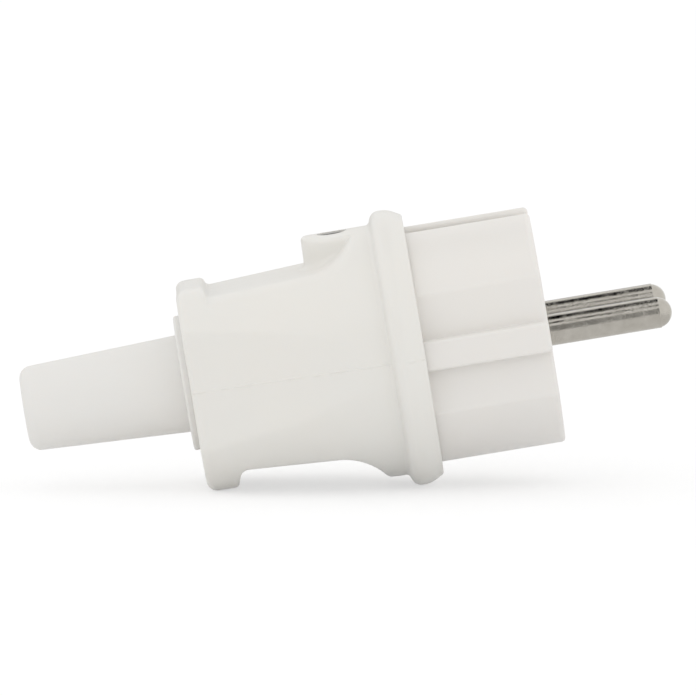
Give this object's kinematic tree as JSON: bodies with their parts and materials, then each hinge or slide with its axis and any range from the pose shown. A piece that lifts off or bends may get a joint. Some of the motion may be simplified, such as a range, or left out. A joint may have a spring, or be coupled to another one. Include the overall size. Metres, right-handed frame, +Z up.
{
  "type": "type F plug",
  "caption": "White rewirable earthed mains plug (type F) with round pins, side earth contacts, a flanged rear hood with finger scoops and a soft cable boot.",
  "frame": {"origin": "on the surface the plug lies on, under the middle of its box", "axes": "+X along the plug towards the pins, which point up a little as the plug rests on its flange and lower lip; +Y along the line of the pins; +Z up, on the side of the housing screw"},
  "size_m": [0.0996, 0.0426, 0.0422],
  "materials": {
    "hood_plastic": "satin",
    "body_plastic": "satin",
    "base_plastic": "satin",
    "boot_rubber": "matte",
    "pin_nickel": "polished",
    "earth_nickel": "satin",
    "screw_steel": "satin"
  },
  "bodies": {
    "root": {"rear_hood": "hood_plastic", "front_body": "body_plastic", "terminal_base": "base_plastic", "cable_boot": "boot_rubber", "pin_left": "pin_nickel", "pin_right": "pin_nickel", "terminal_screws": "screw_steel", "earth_bracket": "earth_nickel", "earth_screw": "screw_steel", "earth_washer": "screw_steel", "earth_nut": "earth_nickel", "cord_saddle": "base_plastic", "cord_clamp_screws": "screw_steel", "housing_screw": "screw_steel", "housing_nut": "screw_steel", "base_screws": "screw_steel"}
  },
  "joints": []
}
